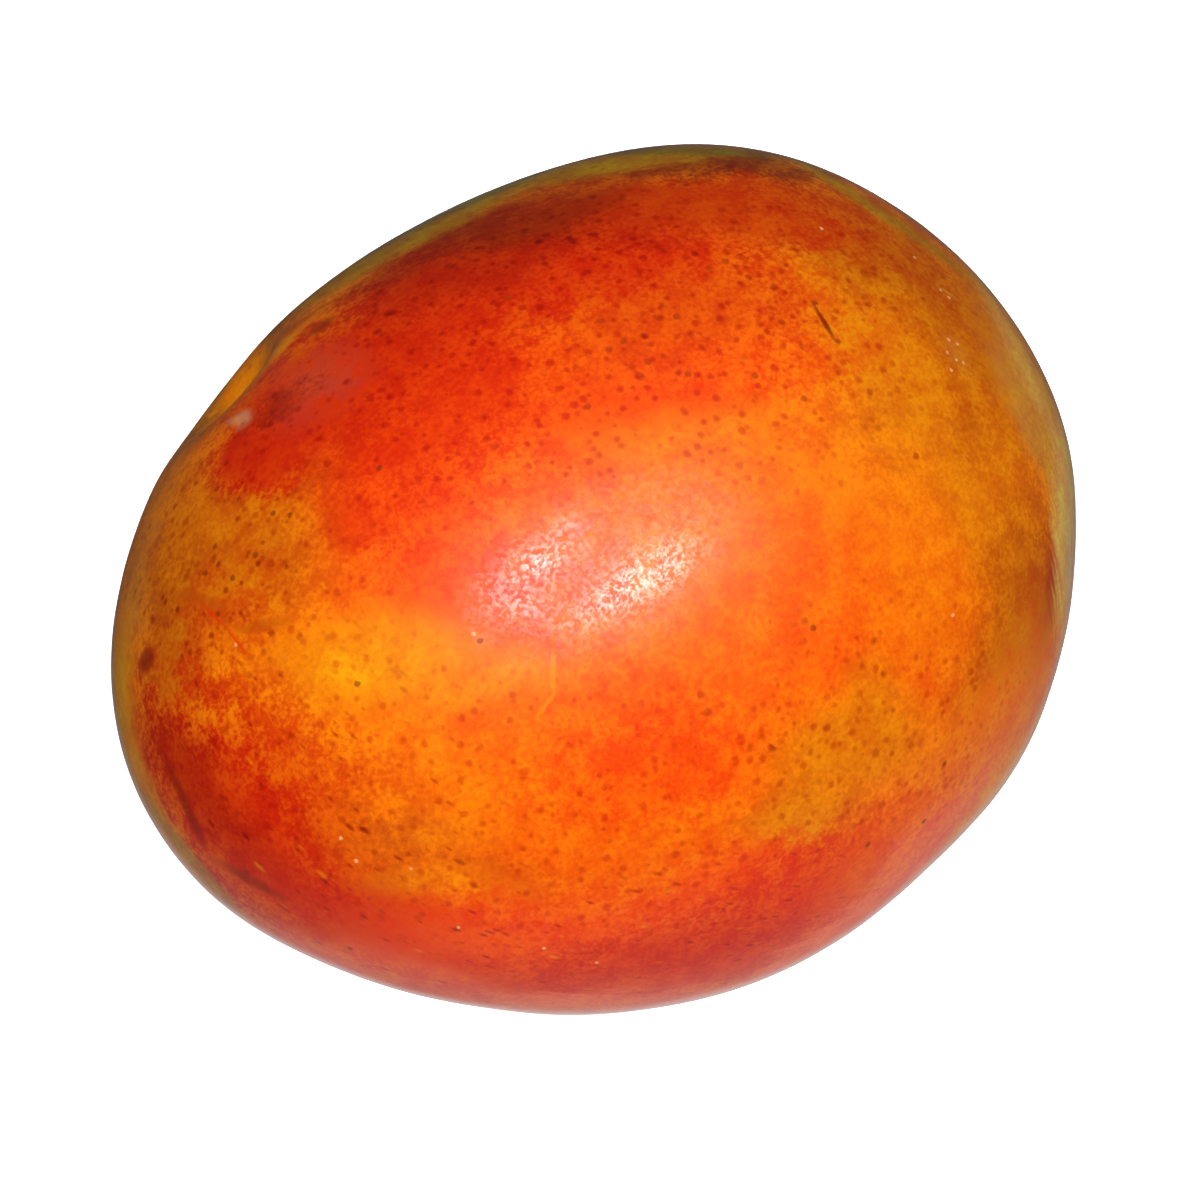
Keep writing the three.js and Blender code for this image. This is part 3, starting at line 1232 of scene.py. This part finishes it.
@dataclass
class Studio:
    """The pale table, which sweeps up into a wall all round, the lights and the camera."""

    table_radius: float = 1.6
    sweep_radius: float = 1.4
    wall_height: float = 2.0
    sweep_steps: int = 12
    sweep_segments: int = 64
    paper_tone: float = 0.8
    paper_glow: float = 1.0
    paper_roughness: float = 0.9
    paper_specular: float = 0.1
    room_tone: Triple = (0.1, 0.1, 0.1)
    table_tone: Triple = (1.05, 1.05, 1.05)
    bounce_around: float = -110
    bounce_above: float = -72
    bounce_edge: Pair = (0.45, 0.95)

    def build(self, fruit: Mango, sight: Sight) -> None:
        """Sets up everything round the fruit.

        Args:
            fruit: The fruit, which the lamps are aimed at.
            sight: How the photograph was taken.
        """
        self._paper()
        self._room()
        for lamp in LAMPS:
            lamp.hang(fruit.form, sight, fruit.centre)
        self._camera(sight)
        settings = bpy.context.scene.view_settings
        settings.view_transform = "Standard"
        settings.look = "None"

    def _paper(self) -> None:
        """Lays the pale paper that the fruit lies on. The room's light stands for its bounce."""
        shape = bmesh.new()
        middle = shape.verts.new((0, 0, 0))
        previous = shape.verts.new((self.table_radius, 0, 0))
        edges = [shape.edges.new((middle, previous))]
        for step in range(1, self.sweep_steps + 1):
            angle = math.pi / 2 * step / self.sweep_steps
            out = self.table_radius + self.sweep_radius * math.sin(angle)
            point = shape.verts.new((out, 0, self.sweep_radius * (1 - math.cos(angle))))
            edges.append(shape.edges.new((previous, point)))
            previous = point
        top = shape.verts.new((previous.co.x, 0, self.sweep_radius + self.wall_height))
        edges.append(shape.edges.new((previous, top)))
        bmesh.ops.spin(
            shape,
            geom=shape.verts[:] + edges,
            axis=(0, 0, 1),
            angle=math.tau,
            steps=self.sweep_segments,
            use_merge=True,
        )
        bmesh.ops.remove_doubles(shape, verts=shape.verts, dist=1e-5)
        bmesh.ops.recalc_face_normals(shape, faces=shape.faces)
        for face in shape.faces:
            face.smooth = True
        mesh = bpy.data.meshes.new("paper")
        shape.to_mesh(mesh)
        shape.free()
        mesh.materials.append(self._paper_material())
        paper = bpy.data.objects.new("paper", mesh)
        paper.visible_diffuse = False
        paper.visible_glossy = False
        paper.visible_shadow = False
        bpy.context.scene.collection.objects.link(paper)

    def _paper_material(self) -> bpy.types.Material:
        """Makes the plain pale paper."""
        material = bpy.data.materials.new("paper")
        material.use_nodes = True
        bench = NodeBench(material.node_tree)
        inputs = {
            "Base Color": (self.paper_tone, self.paper_tone, self.paper_tone, 1),
            "Roughness": self.paper_roughness,
            "Specular IOR Level": self.paper_specular,
            "Emission Color": (1, 1, 1, 1),
            "Emission Strength": self.paper_glow,
        }
        shader = bench.add("ShaderNodeBsdfPrincipled", {}, inputs)
        bench.add("ShaderNodeOutputMaterial", {}, {"Surface": bench.signal(shader)})
        return material

    def _room(self) -> None:
        """Fills the room with dim light, and with the paper's brighter bounce from below."""
        world = bpy.data.worlds.new("room")
        world.use_nodes = True
        bench = NodeBench(world.node_tree)
        way = bench.signal(bench.add("ShaderNodeTexCoord"), "Generated")
        bounce = bench.measure("DOT_PRODUCT", way, direction_of(self.bounce_around, self.bounce_above))
        bright = bench.fade(bounce, *self.bounce_edge)
        colour = bench.mix(bright, (*self.room_tone, 1), (*self.table_tone, 1))
        light = bench.add("ShaderNodeBackground", {}, {"Color": colour, "Strength": 1.0})
        bench.add("ShaderNodeOutputWorld", {}, {"Surface": bench.signal(light)})
        bpy.context.scene.world = world

    def _camera(self, sight: Sight) -> None:
        """Sets up the camera at the photograph's angle."""
        data = bpy.data.cameras.new("camera")
        data.sensor_width = sight.sensor
        data.lens = sight.lens
        data.clip_start = 0.01
        data.clip_end = 20
        camera = bpy.data.objects.new("camera", data)
        camera.location = sight.eye()
        camera.rotation_euler = sight.turn().to_euler()
        bpy.context.scene.collection.objects.link(camera)
        bpy.context.scene.camera = camera


def main() -> None:
    """Builds the fruit and the studio, in that order."""
    logging.basicConfig(level=logging.INFO, format="%(name)s: %(message)s")
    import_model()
    low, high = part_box(FRUIT_NODE)
    sight = Sight((low + high) / 2)
    mango = Mango()
    fruit = mango.build(sight)
    LOG.info("%s: %d faces", fruit.name, len(fruit.data.polygons))
    Studio().build(mango, sight)
    LOG.info("studio: paper, %d lamps and camera", len(LAMPS))


if __name__ == "__main__":
    main()
